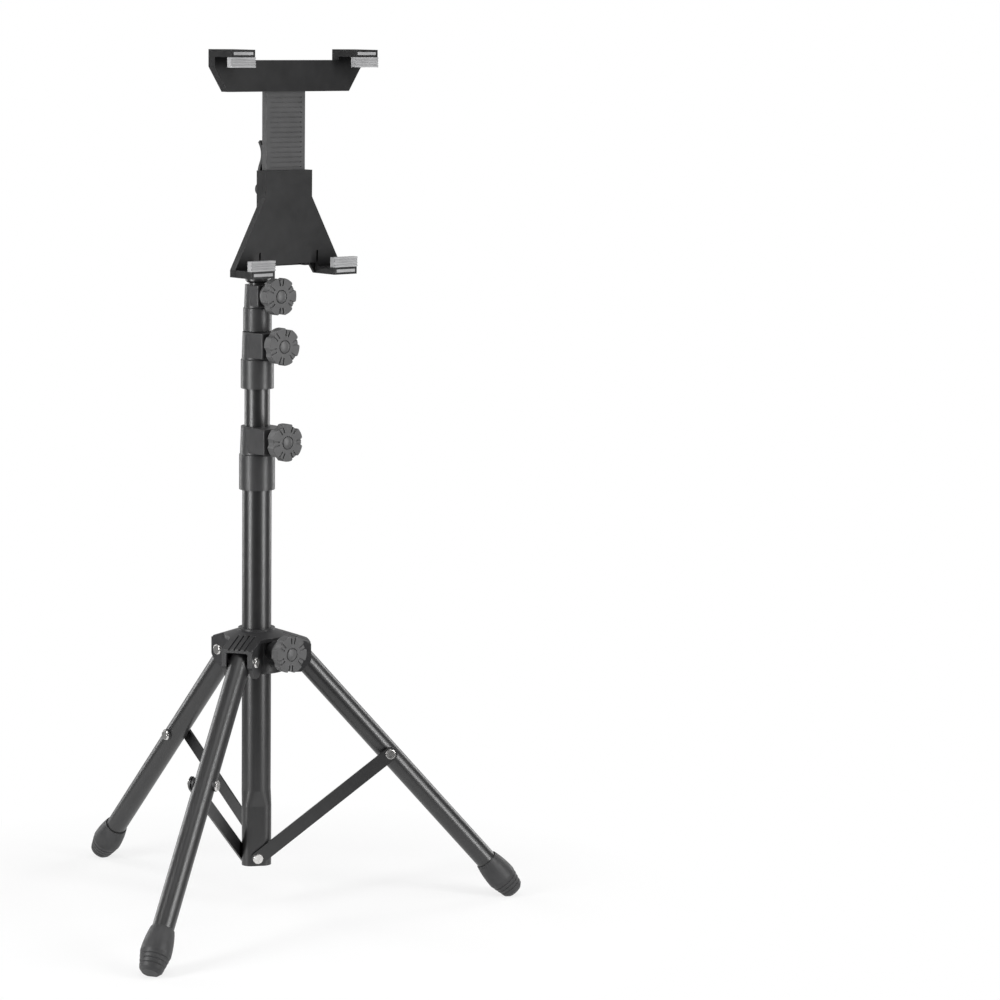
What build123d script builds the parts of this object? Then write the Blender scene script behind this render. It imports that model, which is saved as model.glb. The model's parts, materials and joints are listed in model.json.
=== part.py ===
from build123d import *
import os
from math import atan2, cos, degrees, radians, sin, sqrt

os.makedirs("parts", exist_ok=True)

# The stand's column is the Z axis, the floor is Z = 0 and the tablet holder faces -Y.
# All lengths are millimetres and all angles are degrees.

# Gaps between pieces
seat_gap = 0.03
running_gap = 0.05
moving_gap = 0.3
overrun = 1.0

# Column tubes, each sliding in the one below it
main_tube_radius = 11.0
tube_wall = 1.2
tube_step = tube_wall + moving_gap
middle_tube_radius = main_tube_radius - tube_step
inner_tube_radius = middle_tube_radius - tube_step
top_rod_radius = inner_tube_radius - tube_step
column_bottom = 34.0
middle_tube_bottom = 128.0
glide_flange_height = 6.0
glide_spigot_height = 10.0
glide_gap = 2.0
glide_stack = glide_flange_height + glide_spigot_height + glide_gap
inner_tube_bottom = middle_tube_bottom + glide_stack
top_rod_bottom = inner_tube_bottom + glide_stack

# The crimped foot of the column, a rounded triangle with one flat for each brace
crimp_flat_offset = 9.3
crimp_corner_radius = 6.7
crimp_height = 46.0
crimp_blend_height = 12.0
crimp_blend_share = 0.995
brace_rivet_height = 40.0

# Rivets
rivet_radius = 2.0
pivot_rivet_radius = 2.5
rivet_head_radius = 4.2
rivet_head_height = 1.3
rivet_head_taper = 30

# Legs
leg_angles = {"front_right": -30, "rear": 90, "front_left": -150}
leg_radius = 8.0
leg_wall = 1.0
leg_spread = 41.4
pivot_reach = 32.0
pivot_height = 195.5
leg_end = 4.0
brace_joint_distance = 104.4
spacer_radius = 4.4
spacer_wall = 1.2
spacer_face = leg_radius + spacer_wall

# Boots
boot_length = 34.0
boot_end_radius = 8.4
boot_belly_radius = 11.3
boot_lip_radius = 8.9
boot_corner = 2.2
boot_sole = 5.0
boot_flat_depth = 0.6
boot_belly = 15.0
boot_shoulder_radius = 10.7
boot_groove_count = 3
boot_groove_pitch = (boot_belly - boot_corner) / (boot_groove_count + 1)
boot_groove_depth = 0.6
boot_groove_width = 1.0

# Braces
brace_width = 10.5
brace_thickness = 1.5
brace_inner_face = spacer_face + moving_gap

# Crown that slides on the column and carries the legs
crown_ring_wall = 2.8
crown_ring_radius = main_tube_radius + crown_ring_wall
crown_sleeve_step = 1.3
crown_sleeve_radius = crown_ring_radius + crown_sleeve_step
crown_ring_rise = 20.7
crown_ring_top = pivot_height + crown_ring_rise
crown_ring_height = 1.4
crown_dome_height = crown_ring_top - crown_ring_height
crown_dome_drop = 0.353
crown_plate_thickness = 2.8
crown_drum_radius = 21.3
crown_disc_overhang = 2.7
crown_disc_radius = crown_drum_radius + crown_disc_overhang
crown_drum_drop = 11.5
crown_drum_bottom = pivot_height - crown_drum_drop
crown_hollow_depth = 15.0
crown_drum_wall = 2.6
crown_lobe_overhang = 7.5
crown_lobe_reach = pivot_reach + crown_lobe_overhang
crown_lobe_corner = 3.0
crown_waist_radius = 9.0
ear_thickness = 4.0
ear_inner = leg_radius + moving_gap
ear_outer = ear_inner + ear_thickness
ear_overhang = 0.8
ear_bottom = crown_drum_bottom - ear_overhang
ear_foot_setback = 5.0
ear_foot_reach = pivot_reach - ear_foot_setback
ear_edge_radius = 3.0
groove_count = 4
groove_pitch = 4.2
groove_width = 1.3
groove_depth = 1.1
groove_start = 19.0
crown_knob_rise = 5.7
crown_knob_height = pivot_height + crown_knob_rise
crown_boss_radius = 8.2
crown_boss_length = 6.7
crown_boss_front = crown_drum_radius + crown_boss_length

# Clamp knobs
knob_radius = 13.9
knob_lobes = 6
knob_scallop_radius = 6.0
knob_scallop_depth = 1.5
knob_rim_depth = 7.0
knob_flare_depth = 5.0
knob_depth = knob_rim_depth + knob_flare_depth
knob_neck_radius = 8.3
knob_undercut = 2.4
knob_cap_radius = 4.5
knob_cap_depth = 1.4
knob_cap_rise = 1.0
knob_ring_width = 0.5
knob_slit_width = 1.0
knob_slit_start = 8.0
knob_slit_depth = 0.8
knob_slit_spread = 17.0
lower_knob_neck = 0.4
middle_knob_neck = 0.3
upper_knob_neck = 3.7
crown_knob_neck = 2.1
lower_knob_turn = 0
middle_knob_turn = 15
upper_knob_turn = 30
crown_knob_turn = 24
screw_radius = 2.5
screw_head_flats = 7.0
screw_head_height = 3.5
screw_tip_gap = 0.3
insert_flats = 8.0
insert_length = 4.5

# Clamp collars, each at the height that the tube below it shows
collar_wall = 2.3
collar_taper = 1.3
collar_seam_height = 0.8
collar_boss_edge = 1.2
lower_sleeve_wall = 2.4
lower_collar_radius = main_tube_radius + lower_sleeve_wall
lower_collar_bottom = 320.8
lower_sleeve_length = 28.4
lower_boss_bottom = lower_collar_bottom + lower_sleeve_length
lower_knob_rise = 9.8
lower_knob_height = lower_boss_bottom + lower_knob_rise
lower_boss_length = 19.0
lower_collar_top = lower_boss_bottom + lower_boss_length
lower_boss_depth = 10.3
lower_boss_front = lower_collar_radius + lower_boss_depth
middle_sleeve_wall = 2.8
middle_collar_radius = middle_tube_radius + middle_sleeve_wall
middle_tube_shown = 28.3
middle_collar_bottom = lower_collar_top + middle_tube_shown
middle_sleeve_length = 23.5
middle_boss_bottom = middle_collar_bottom + middle_sleeve_length
middle_knob_rise = 9.6
middle_knob_height = middle_boss_bottom + middle_knob_rise
middle_boss_length = 18.6
middle_collar_top = middle_boss_bottom + middle_boss_length
middle_boss_depth = 7.5
middle_boss_front = middle_collar_radius + middle_boss_depth
upper_sleeve_wall = 2.6
upper_collar_radius = inner_tube_radius + upper_sleeve_wall
inner_tube_shown = 0.6
upper_collar_bottom = middle_collar_top + inner_tube_shown
upper_sleeve_length = 19.0
upper_boss_bottom = upper_collar_bottom + upper_sleeve_length
upper_knob_rise = 8.0
upper_knob_height = upper_boss_bottom + upper_knob_rise
upper_boss_length = 15.2
upper_collar_top = upper_boss_bottom + upper_boss_length
upper_boss_depth = 1.8
upper_boss_front = upper_collar_radius + upper_boss_depth

# Adapter, ball stud and ball nut
adapter_radius = 9.0
top_rod_shown = 1.6
adapter_bottom = upper_collar_top + top_rod_shown
adapter_socket_depth = 9.0
adapter_shoulder = adapter_bottom + adapter_socket_depth
adapter_neck_length = 16.0
adapter_top = adapter_shoulder + adapter_neck_length
adapter_edge = 1.4
set_screw_rise = 5.0
set_screw_height = adapter_bottom + set_screw_rise
set_screw_radius = 2.5
set_screw_socket = 1.3
set_screw_socket_depth = 1.0
set_screw_sink = 0.6
set_screw_rim = 0.7
stud_radius = 5.0
stud_bevel = 1.2
ball_radius = 7.0
ball_neck_radius = 3.3
ball_reach = 16.0
ball_rise = 10.0
ball_height = adapter_top + ball_rise
stud_rise = 6.3
stud_top = ball_height + stud_rise
ball_seat_radius = ball_radius + moving_gap
ball_nut_radius = 11.4
ball_nut_rear = 3.2
ball_nut_lip = 3.9
ball_nut_flutes = 10
ball_nut_flute_radius = 1.5
ball_nut_aperture = 6.4
socket_boss_radius = 9.2
socket_boss_end = 0.8

# Holder: the lower jaw with its skirt, the housing behind it and the sliding upper jaw
jaw_plate_thickness = 3.5
housing_depth = 7.7
housing_setback = 9.3
housing_back = ball_reach + housing_setback
holder_front = housing_back + housing_depth + jaw_plate_thickness
housing_back_wall = 1.7
housing_side_wall = 3.6
housing_width = 43.4
housing_drop = 21.0
housing_bottom = ball_height - housing_drop
housing_height = 70.0
housing_top = housing_bottom + housing_height
housing_edge = 1.0
skirt_shoulder_drop = 19.5
skirt_top = housing_top - skirt_shoulder_drop
skirt_flare = 27.8
skirt_half_width = housing_width / 2 + skirt_flare
skirt_depth = 6.0
skirt_rim = 1.5
skirt_slot_width = 2.8
skirt_slot_pitch = 5.5
skirt_slot_count = 5
skirt_slot_depth = 4.2
skirt_edge_rise = 2.0
skirt_bottom_edge = housing_bottom + skirt_edge_rise
notch_width = 1.6
notch_height = 9.0
hook_width = 21.8
hook_reach = 19.2
hook_thickness = 5.3
hook_edge = 1.2
hook_window_height = 2.4
hook_window_margin = 2.0
hook_window_depth = 0.8
hook_strip_share = 0.6
lower_hook_drop = 6.0
lower_hook_bottom = housing_bottom - lower_hook_drop
lower_hook_inset = 0.1
lower_hook_inner = skirt_half_width - hook_width - lower_hook_inset
pad_height = 7.3
pad_depth = 5.0
pad_rib_count = 3
pad_rib_depth = 0.5
pad_rib_width = 0.9
tongue_margin = 2.6
tongue_depth = 2.2
tongue_height = 5.6
arm_half_width = housing_width / 2 - housing_side_wall - moving_gap
arm_front = holder_front - jaw_plate_thickness - moving_gap
arm_foot_rise = 14.0
arm_bottom = housing_bottom + arm_foot_rise
arm_rail_width = 4.2
arm_web = 2.8
arm_rib_pitch = 3.6
arm_rib_width = 1.0
arm_rib_depth = 0.6
arm_rib_margin = 3.4
arm_hole_radius = 1.6
arm_hole_drop = 7.5
arm_length = 113.0
bar_bottom = arm_bottom + arm_length
bar_height = 22.5
bar_top = bar_bottom + bar_height
bar_half_width = 68.0
bar_foot_half_width = 56.2
upper_hook_inner = bar_half_width - hook_width
bar_side_height = 4.5
bar_depth = 7.6
bar_rim = 1.4
bar_slot_width = 5.2
bar_slot_pitch = 10.7
bar_slot_count = 12
bar_slot_depth = 5.5
tab_rise = 7.8
tab_top = bar_top + tab_rise

# Socket plate on the housing's back
socket_plate_width = 26.5
socket_plate_drop = 17.5
socket_plate_bottom = ball_height - socket_plate_drop
socket_plate_rise = 20.6
socket_plate_top = ball_height + socket_plate_rise
socket_plate_thickness = 2.2
socket_plate_sink = 0.8
socket_plate_corner = 3.0
socket_slot_width = 3.0
socket_slot_height = 7.5
socket_slot_spacing = 14.0
latch_hole_width = 4.0
latch_hole_height = 2.4

# Cam lever and its pin
lever_width = 25.0
lever_pin_radius = 2.2
lever_pin_setback = 4.0
lever_pin_reach = housing_back - lever_pin_setback
lever_pin_drop = 14.0
lever_pin_height = housing_top - lever_pin_drop
lever_hub_radius = 4.3
lever_nose_radius = 2.4
lever_nose_offset = 5.9
lever_thickness = 2.4
lever_bulge = 1.9
lever_sway = 0.6
lever_lip = 1.5
lever_waist = 19.0
lever_length = 34.5
lever_tail_width = 11.0
lever_tail_length = 7.6
lever_tail_thickness = 2.6
lug_thickness = 3.4
lug_radius = 4.2

arm_back = holder_front - jaw_plate_thickness - housing_depth + housing_back_wall + moving_gap
up = Axis.Z.direction


def radial(angle):
    """The level direction that points away from the column at this angle."""
    return Vector(cos(radians(angle)), sin(radians(angle)), 0)


def sideways(angle):
    """The level direction square to radial, clockwise seen from above."""
    outward = radial(angle)
    return Vector(outward.Y, -outward.X, 0)


def down_leg(angle):
    """The direction from a leg's pivot to its foot."""
    return radial(angle) * sin(radians(leg_spread)) - up * cos(radians(leg_spread))


def section_plane(angle, side):
    """A plane beside a leg, whose x is the distance from the column and y the height."""
    return Plane(origin=sideways(angle) * side, x_dir=radial(angle), z_dir=sideways(angle))


def leg_plane(angle, distance):
    """A plane square to a leg, at this distance below its pivot."""
    pivot = radial(angle) * pivot_reach + up * pivot_height
    return Plane(origin=pivot + down_leg(angle) * distance, x_dir=sideways(angle), z_dir=down_leg(angle))


def front_plane(reach, height):
    """An upright plane that faces the front, -Y, with x across and y up."""
    return Plane(origin=(0, -reach, height), x_dir=(1, 0, 0), z_dir=(0, -1, 0))


def save(part, label):
    part.label = label
    export_step(part, f"parts/{label}.step")


def head_plane(angle, side, reach, height, facing):
    """The plane under a rivet's head, beside a leg and facing away from it."""
    seat = radial(angle) * reach + sideways(angle) * side + up * height
    return Plane(origin=seat, x_dir=radial(angle), z_dir=sideways(angle) * facing)


def build_rivet(plane, shank_radius, shank_length):
    """A rivet with a tapered head on a plane and a shank that goes down from it."""
    with BuildPart() as rivet:
        with BuildSketch(plane):
            Circle(rivet_head_radius)
        extrude(amount=rivet_head_height, taper=rivet_head_taper)
        with BuildSketch(plane):
            Circle(shank_radius)
        extrude(amount=-shank_length)
    return rivet.part


def rounded_triangle(flat_offset, corner_radius):
    """A triangle with round corners and one flat square to each brace's rivet."""
    RegularPolygon(radius=flat_offset * 2, side_count=3, rotation=60)
    fillet(vertices(), radius=corner_radius)


def build_crimped_rod(radius, inset, top):
    """A round bar whose foot is squeezed to a rounded triangle, all drawn in by inset."""
    crimp_top = column_bottom + crimp_height
    round_start = crimp_top + crimp_blend_height
    with BuildPart() as crimped_rod:
        with BuildSketch(Plane.XY.offset(column_bottom)):
            rounded_triangle(crimp_flat_offset - inset, crimp_corner_radius - inset)
        extrude(amount=crimp_height)
        with BuildSketch(Plane.XY.offset(crimp_top)):
            rounded_triangle(crimp_flat_offset - inset, crimp_corner_radius - inset)
        with BuildSketch(Plane.XY.offset(round_start)):
            rounded_triangle(radius, radius * crimp_blend_share)
        loft()
        with BuildSketch(Plane.XY.offset(round_start)):
            Circle(radius)
        extrude(amount=top - round_start)
    return crimped_rod.part


# Main tube, with a crimped foot and holes for the brace rivets
main_tube_top = lower_boss_bottom - collar_wall
with BuildPart() as main_tube:
    add(build_crimped_rod(main_tube_radius, 0, main_tube_top))
    add(
        build_crimped_rod(main_tube_radius - tube_wall, tube_wall, main_tube_top),
        mode=Mode.SUBTRACT,
    )
    for leg_angle in leg_angles.values():
        with BuildSketch(section_plane(leg_angle, 0)):
            with Locations((0, brace_rivet_height)):
                Circle(rivet_radius + seat_gap)
        extrude(amount=main_tube_radius + overrun, mode=Mode.SUBTRACT)
save(main_tube.part, "main_tube")

# Rivets that hold the three braces to the column's foot
column_rivet_seat = brace_inner_face + brace_thickness + running_gap
with BuildPart() as column_rivets:
    for leg_angle in leg_angles.values():
        rivet_seat = head_plane(leg_angle, column_rivet_seat, 0, brace_rivet_height, 1)
        rivet_length = column_rivet_seat - crimp_flat_offset + tube_wall
        add(build_rivet(rivet_seat, rivet_radius, rivet_length))
save(column_rivets.part, "column_rivets")


def build_tube(radius, bottom, top, wall):
    """A plain round tube on the column's axis."""
    with BuildPart() as tube:
        with BuildSketch(Plane.XY.offset(bottom)):
            Circle(radius)
            Circle(radius - wall, mode=Mode.SUBTRACT)
        extrude(amount=top - bottom)
    return tube.part


def build_glide(bore_radius, tube_radius, tube_bottom):
    """A plastic plug in a tube's lower end, whose flange slides in the next tube's bore."""
    with BuildPart() as glide:
        with BuildSketch(Plane.XY.offset(tube_bottom - glide_flange_height)):
            Circle(bore_radius - running_gap)
        extrude(amount=glide_flange_height - seat_gap)
        with BuildSketch(Plane.XY.offset(tube_bottom - seat_gap)):
            Circle(tube_radius - tube_wall - seat_gap)
        extrude(amount=glide_spigot_height)
    return glide.part


def build_collar(outer_radius, tube_radius, bottom, boss_bottom, top, boss_front, screw_height):
    """A clamp collar: a sleeve fixed on one tube, a bore for the next and a boss for the knob."""
    seat = boss_bottom - collar_wall
    seam = seat + collar_seam_height
    neck_radius = outer_radius - collar_taper
    sliding_radius = tube_radius - tube_step
    with BuildPart() as collar:
        with BuildSketch(Plane.XZ):
            with BuildLine():
                Polyline(
                    (0, bottom),
                    (outer_radius, bottom),
                    (outer_radius, seat),
                    (outer_radius - collar_taper / 2, seam),
                    (neck_radius, top),
                    (0, top),
                    close=True,
                )
            make_face()
        revolve(axis=Axis.Z)
        with BuildSketch(Plane.XY.offset(boss_bottom)):
            with Locations((0, -boss_front / 2)):
                Rectangle(2 * neck_radius, boss_front)
        extrude(amount=top - boss_bottom)
        front_edges = collar.edges().filter_by(Axis.Z).group_by(Axis.Y)[0]
        fillet(front_edges, radius=collar_boss_edge)
        with BuildSketch(Plane.XY.offset(bottom)):
            Circle(tube_radius + seat_gap)
        extrude(amount=seat - bottom, mode=Mode.SUBTRACT)
        with BuildSketch(Plane.XY.offset(seat)):
            Circle(sliding_radius + running_gap)
        extrude(amount=top - seat, mode=Mode.SUBTRACT)
        with BuildSketch(front_plane(0, screw_height)):
            Circle(screw_radius + moving_gap)
        extrude(amount=boss_front, mode=Mode.SUBTRACT)
        with BuildSketch(front_plane(boss_front, screw_height)):
            RegularPolygon(insert_flats / 2 + seat_gap, 6, major_radius=False)
        extrude(amount=-insert_length, mode=Mode.SUBTRACT)
    return collar.part


def build_insert(boss_front, screw_height):
    """A threaded brass insert, a hexagon set into a boss."""
    with BuildPart() as insert:
        with BuildSketch(front_plane(boss_front, screw_height)):
            RegularPolygon(insert_flats / 2, 6, major_radius=False)
            Circle(screw_radius + running_gap, mode=Mode.SUBTRACT)
        extrude(amount=-insert_length)
    return insert.part


def build_knob(boss_front, face, height, turn):
    """A six-lobed clamp knob with slits in its face, a cap seat and a pocket for the screw's head."""
    back = boss_front + moving_gap
    rim_start = face - knob_rim_depth
    pocket = face - knob_cap_depth - screw_head_height
    with BuildPart() as knob:
        with BuildSketch(front_plane(rim_start, height)):
            Circle(knob_radius)
            scallop_reach = knob_radius - knob_scallop_depth + knob_scallop_radius
            with PolarLocations(scallop_reach, knob_lobes, start_angle=turn):
                Circle(knob_scallop_radius, mode=Mode.SUBTRACT)
        extrude(amount=knob_rim_depth)
        with BuildSketch(front_plane(back, height)):
            Circle(knob_neck_radius)
        with BuildSketch(front_plane(rim_start, height)):
            Circle(knob_radius - knob_undercut)
        loft()
        slit_length = knob_radius - knob_slit_start
        with BuildSketch(front_plane(face, height)):
            for slit_turn in (turn + knob_slit_spread / 2, turn - knob_slit_spread / 2):
                with PolarLocations(0, knob_lobes, start_angle=slit_turn):
                    with Locations((knob_slit_start + slit_length / 2, 0)):
                        Rectangle(slit_length, knob_slit_width)
        extrude(amount=-knob_slit_depth, mode=Mode.SUBTRACT)
        with BuildSketch(front_plane(face, height)):
            Circle(knob_cap_radius + knob_ring_width)
        extrude(amount=-knob_cap_depth, mode=Mode.SUBTRACT)
        with BuildSketch(front_plane(pocket, height)):
            RegularPolygon(screw_head_flats / 2 + seat_gap, 6, major_radius=False)
        extrude(amount=screw_head_height + overrun, mode=Mode.SUBTRACT)
        with BuildSketch(front_plane(back, height)):
            Circle(screw_radius + seat_gap)
        extrude(amount=pocket - back, mode=Mode.SUBTRACT)
    return knob.part


def build_screw(face, height, tip_reach):
    """The knob's hexagon-headed screw, from its head to just off the tube that it clamps."""
    head_back = face - knob_cap_depth - screw_head_height
    with BuildPart() as screw:
        with BuildSketch(front_plane(tip_reach + screw_tip_gap, height)):
            Circle(screw_radius)
        extrude(amount=head_back - tip_reach - screw_tip_gap)
        with BuildSketch(front_plane(head_back, height)):
            RegularPolygon(screw_head_flats / 2, 6, major_radius=False)
        extrude(amount=screw_head_height - seat_gap)
    return screw.part


def build_cap(face, height):
    """The domed cap in the middle of a knob's face."""
    dome_radius = (knob_cap_radius**2 + knob_cap_rise**2) / (2 * knob_cap_rise)
    with BuildPart() as cap:
        with BuildSketch(front_plane(face - knob_cap_depth, height)):
            Circle(knob_cap_radius)
        extrude(amount=knob_cap_depth + knob_cap_rise)
        with Locations((0, dome_radius - face - knob_cap_rise, height)):
            Sphere(dome_radius, mode=Mode.INTERSECT)
    return cap.part


def save_knob_set(prefix, boss_front, neck, height, turn, tip_reach):
    face = boss_front + moving_gap + neck + knob_depth
    save(build_knob(boss_front, face, height, turn), f"{prefix}_knob")
    save(build_screw(face, height, tip_reach), f"{prefix}_knob_screw")
    save(build_cap(face, height), f"{prefix}_knob_cap")


# Lower collar on the main tube
save(
    build_collar(
        lower_collar_radius, main_tube_radius, lower_collar_bottom,
        lower_boss_bottom, lower_collar_top, lower_boss_front, lower_knob_height,
    ),
    "lower_collar",
)
save(build_insert(lower_boss_front, lower_knob_height), "lower_collar_nut")
save_knob_set(
    "lower", lower_boss_front, lower_knob_neck, lower_knob_height, lower_knob_turn, middle_tube_radius
)

# Middle tube, its glide and the middle collar
middle_tube_top = middle_boss_bottom - collar_wall
save(build_tube(middle_tube_radius, middle_tube_bottom, middle_tube_top, tube_wall), "middle_tube")
save(
    build_glide(main_tube_radius - tube_wall, middle_tube_radius, middle_tube_bottom),
    "middle_tube_glide",
)
save(
    build_collar(
        middle_collar_radius, middle_tube_radius, middle_collar_bottom,
        middle_boss_bottom, middle_collar_top, middle_boss_front, middle_knob_height,
    ),
    "middle_collar",
)
save(build_insert(middle_boss_front, middle_knob_height), "middle_collar_nut")
save_knob_set(
    "middle", middle_boss_front, middle_knob_neck, middle_knob_height, middle_knob_turn, inner_tube_radius
)

# Inner tube, its glide and the upper collar
inner_tube_top = upper_boss_bottom - collar_wall
save(build_tube(inner_tube_radius, inner_tube_bottom, inner_tube_top, tube_wall), "inner_tube")
save(
    build_glide(middle_tube_radius - tube_wall, inner_tube_radius, inner_tube_bottom),
    "inner_tube_glide",
)
save(
    build_collar(
        upper_collar_radius, inner_tube_radius, upper_collar_bottom,
        upper_boss_bottom, upper_collar_top, upper_boss_front, upper_knob_height,
    ),
    "upper_collar",
)
save(build_insert(upper_boss_front, upper_knob_height), "upper_collar_nut")
save_knob_set(
    "upper", upper_boss_front, upper_knob_neck, upper_knob_height, upper_knob_turn, top_rod_radius
)

# Top rod and its glide
top_rod_top = adapter_shoulder - seat_gap
save(build_tube(top_rod_radius, top_rod_bottom, top_rod_top, tube_wall), "top_rod")
save(
    build_glide(inner_tube_radius - tube_wall, top_rod_radius, top_rod_bottom),
    "top_rod_glide",
)

# Crown: domed top with three forked lobes, a drum round the bushing and a boss for the knob
def crown_top_at(reach):
    """Height of the crown's sloping top at this distance from the column."""
    return crown_dome_height - crown_dome_drop * (reach - crown_ring_radius)


with BuildPart() as crown:
    crown_height = crown_ring_top - crown_drum_bottom
    with BuildSketch(Plane.XY.offset(crown_drum_bottom)) as crown_outline:
        Circle(crown_disc_radius)
        for leg_angle in leg_angles.values():
            with Locations(Location((0, 0, 0), leg_angle)):
                with Locations((crown_lobe_reach / 2, 0)):
                    Rectangle(crown_lobe_reach, 2 * ear_outer)
        outer_corners = crown_outline.vertices().filter_by(
            lambda corner: sqrt(corner.X**2 + corner.Y**2) > crown_lobe_reach
        )
        fillet(outer_corners, radius=crown_lobe_corner)
        waist_corners = crown_outline.vertices().filter_by(
            lambda corner: sqrt(corner.X**2 + corner.Y**2) < crown_disc_radius + seat_gap
        )
        fillet(waist_corners, radius=crown_waist_radius)
    extrude(amount=crown_height)
    with BuildSketch(Plane.XZ):
        band_end = crown_lobe_reach + crown_lobe_corner
        with BuildLine():
            Polyline(
                (0, crown_top_at(0)),
                (band_end, crown_top_at(band_end)),
                (band_end, crown_top_at(band_end) - crown_plate_thickness),
                (0, crown_top_at(0) - crown_plate_thickness),
                close=True,
            )
        make_face()
    revolve(axis=Axis.Z, mode=Mode.INTERSECT)
    with BuildSketch(Plane.XZ):
        with BuildLine():
            Polyline(
                (0, crown_drum_bottom),
                (crown_drum_radius, crown_drum_bottom),
                (crown_drum_radius, crown_top_at(crown_drum_radius) - crown_plate_thickness / 2),
                (crown_ring_radius, crown_top_at(crown_ring_radius) - crown_plate_thickness / 2),
                (0, crown_top_at(crown_ring_radius) - crown_plate_thickness / 2),
                close=True,
            )
        make_face()
    revolve(axis=Axis.Z)
    for leg_angle in leg_angles.values():
        for ear_side in (ear_inner, -ear_outer):
            ear_root = crown_drum_radius - crown_drum_wall
            plate_middle = crown_plate_thickness / 2
            ear_drop = pivot_height - rivet_head_radius
            with BuildSketch(section_plane(leg_angle, ear_side)) as ear_profile:
                with BuildLine():
                    Polyline(
                        (ear_root, crown_top_at(ear_root) - plate_middle),
                        (crown_lobe_reach, crown_top_at(crown_lobe_reach) - plate_middle),
                        (crown_lobe_reach, ear_drop),
                        (pivot_reach, ear_bottom),
                        (ear_foot_reach, ear_bottom),
                        (ear_root, crown_drum_bottom + ear_thickness),
                        close=True,
                    )
                make_face()
                ear_corner = ear_profile.vertices().sort_by_distance((crown_lobe_reach, ear_drop))[0]
                fillet(ear_corner, radius=ear_edge_radius)
            extrude(amount=ear_thickness)
    with BuildSketch(front_plane(0, crown_knob_height)):
        Circle(crown_boss_radius)
    extrude(amount=crown_boss_front)
    # Bore, hollow underside and rivet holes
    with BuildSketch(Plane.XY.offset(crown_drum_bottom)):
        Circle(crown_drum_radius - crown_drum_wall)
        with Locations((0, -(crown_drum_radius + main_tube_radius) / 2)):
            Rectangle(2 * crown_boss_radius, crown_drum_radius, mode=Mode.SUBTRACT)
    extrude(amount=crown_hollow_depth, mode=Mode.SUBTRACT)
    with BuildSketch(Plane.XY.offset(crown_drum_bottom)):
        Circle(crown_sleeve_radius + seat_gap)
    extrude(amount=crown_height, mode=Mode.SUBTRACT)
    for leg_angle in leg_angles.values():
        for hole_start in (ear_inner, -ear_outer):
            with BuildSketch(section_plane(leg_angle, hole_start)):
                with Locations((pivot_reach, pivot_height)):
                    Circle(pivot_rivet_radius + seat_gap)
            extrude(amount=ear_thickness, mode=Mode.SUBTRACT)
        for groove in range(groove_count):
            groove_side = (groove - (groove_count - 1) / 2) * groove_pitch
            with BuildSketch(section_plane(leg_angle, groove_side - groove_width / 2)):
                groove_end = crown_lobe_reach + crown_lobe_corner
                with BuildLine():
                    Polyline(
                        (groove_start, crown_top_at(groove_start) + overrun),
                        (groove_end, crown_top_at(groove_end) + overrun),
                        (groove_end, crown_top_at(groove_end) - groove_depth),
                        (groove_start, crown_top_at(groove_start) - groove_depth),
                        close=True,
                    )
                make_face()
            extrude(amount=groove_width, mode=Mode.SUBTRACT)
    with BuildSketch(front_plane(0, crown_knob_height)):
        Circle(screw_radius + moving_gap)
    extrude(amount=crown_boss_front, mode=Mode.SUBTRACT)
    with BuildSketch(front_plane(crown_boss_front, crown_knob_height)):
        RegularPolygon(insert_flats / 2 + seat_gap, 6, major_radius=False)
    extrude(amount=-insert_length, mode=Mode.SUBTRACT)
save(crown.part, "crown")

# Bushing in the crown that slides on the column, and whose rim shows above the dome
with BuildPart() as crown_sleeve:
    with BuildSketch(Plane.XZ):
        with BuildLine():
            Polyline(
                (main_tube_radius + running_gap, crown_drum_bottom),
                (crown_sleeve_radius, crown_drum_bottom),
                (crown_sleeve_radius, crown_top_at(crown_sleeve_radius)),
                (crown_ring_radius, crown_dome_height),
                (crown_ring_radius, crown_ring_top),
                (main_tube_radius + running_gap, crown_ring_top),
                close=True,
            )
        make_face()
    revolve(axis=Axis.Z)
    with BuildSketch(front_plane(0, crown_knob_height)):
        Circle(screw_radius + moving_gap)
    extrude(amount=crown_boss_front, mode=Mode.SUBTRACT)
save(crown_sleeve.part, "crown_sleeve")
save(build_insert(crown_boss_front, crown_knob_height), "crown_nut")
save_knob_set(
    "crown", crown_boss_front, crown_knob_neck, crown_knob_height, crown_knob_turn, main_tube_radius
)

# Rivets that the legs turn on
with BuildPart() as crown_rivets:
    for leg_angle in leg_angles.values():
        for facing in (1, -1):
            rivet_length = ear_outer + seat_gap
            rivet_seat = head_plane(
                leg_angle, facing * rivet_length, pivot_reach, pivot_height, facing
            )
            add(build_rivet(rivet_seat, pivot_rivet_radius, rivet_length))
save(crown_rivets.part, "crown_rivets")

# Legs, with their boots, brace rivets and spacers
spread_cos = cos(radians(leg_spread))
spread_sin = sin(radians(leg_spread))
boot_drop = (boot_end_radius - boot_corner) * spread_sin
leg_reach = (pivot_height + boot_flat_depth - boot_drop) / spread_cos
joint_reach = pivot_reach + brace_joint_distance * spread_sin
joint_height = pivot_height - brace_joint_distance * spread_cos

# A boot's profile: radius and distance from its end, with a V-groove between each two bands
boot_profile = [(0, 0), (boot_end_radius - boot_corner, 0), (boot_end_radius, boot_corner)]
for ring in range(boot_groove_count):
    groove_middle = boot_corner + (ring + 1) * boot_groove_pitch
    groove_share = (groove_middle - boot_corner) / (boot_belly - boot_corner)
    band_radius = boot_end_radius + (boot_belly_radius - boot_end_radius) * groove_share
    boot_profile.append((band_radius, groove_middle - boot_groove_width / 2))
    boot_profile.append((band_radius - boot_groove_depth, groove_middle))
    boot_profile.append((band_radius, groove_middle + boot_groove_width / 2))
boot_profile.append((boot_belly_radius, boot_belly))

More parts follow.
